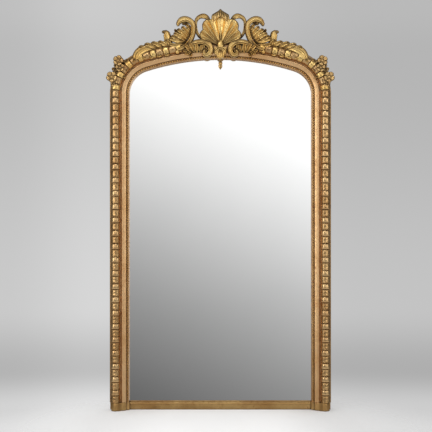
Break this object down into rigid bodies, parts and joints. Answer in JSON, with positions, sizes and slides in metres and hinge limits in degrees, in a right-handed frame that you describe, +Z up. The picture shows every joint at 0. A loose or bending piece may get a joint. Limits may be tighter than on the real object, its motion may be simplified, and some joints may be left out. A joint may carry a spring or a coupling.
{
  "type": "trumeau mirror",
  "caption": "Tall arched giltwood mirror with a pierced carved shell crest, ornamented mouldings, plinth blocks, a boarded back and two iron hanging rings.",
  "frame": {"origin": "middle of the overall size in plan, on the floor", "axes": "+X to the viewer's right, +Y from the front to the back, +Z up"},
  "size_m": [1.1352, 0.1258, 1.998],
  "materials": {
    "gilt_frame": "aged gold leaf over red bole on plain mouldings, softly worn",
    "gilt_ornament": "burnished gold leaf on raised parts, dark in the recesses",
    "gilt_crest": "aged gold leaf on carving, dark in the recesses",
    "mirror_glass": "clear silvered glass",
    "pine_back": "aged bare pine",
    "iron": "dark forged iron"
  },
  "bodies": {
    "frame": {"back_board_1": "pine_back", "back_board_2": "pine_back", "back_board_3": "pine_back", "back_board_4": "pine_back", "back_board_nails": "iron", "bottom_rail": "gilt_frame", "crest_block": "pine_back", "crest_board": "gilt_frame", "crest_plate": "iron", "crest_plate_screws": "iron", "glazing_blocks": "pine_back", "hanger_screws": "iron", "head_crown": "gilt_frame", "left_acanthus_leaf": "gilt_crest", "left_c_scroll": "gilt_crest", "left_hanger_plate": "iron", "left_head_beads": "gilt_ornament", "left_head_shoulder": "gilt_frame", "left_head_torus": "gilt_ornament", "left_loop": "gilt_crest", "left_plinth_block": "gilt_frame", "left_scroll_palmette": "gilt_crest", "left_shoulder_flowers": "gilt_crest", "left_shoulder_spray": "gilt_crest", "left_stile": "gilt_frame", "left_stile_beads": "gilt_ornament", "left_stile_torus": "gilt_ornament", "left_volute": "gilt_crest", "mirror_plate": "mirror_glass", "pendant_drop": "gilt_crest", "rail_strip": "gilt_frame", "right_acanthus_leaf": "gilt_crest", "right_c_scroll": "gilt_crest", "right_hanger_plate": "iron", "right_head_beads": "gilt_ornament", "right_head_shoulder": "gilt_frame", "right_head_torus": "gilt_ornament", "right_loop": "gilt_crest", "right_plinth_block": "gilt_frame", "right_scroll_palmette": "gilt_crest", "right_shoulder_flowers": "gilt_crest", "right_shoulder_spray": "gilt_crest", "right_stile": "gilt_frame", "right_stile_beads": "gilt_ornament", "right_stile_torus": "gilt_ornament", "right_volute": "gilt_crest", "shell": "gilt_crest", "shell_apron": "gilt_crest"},
    "left_ring": {"left_hanging_ring": "iron"},
    "right_ring": {"right_hanging_ring": "iron"}
  },
  "joints": [
    {"name": "left_ring_hinge", "type": "hinge", "parent": "frame", "child": "left_ring", "pos_m": [-0.5115, 0.056, 1.48], "axis": [1, 0, 0], "range_deg": [0, 180]},
    {"name": "right_ring_hinge", "type": "hinge", "parent": "frame", "child": "right_ring", "pos_m": [0.5115, 0.056, 1.48], "axis": [1, 0, 0], "range_deg": [0, 180]}
  ]
}
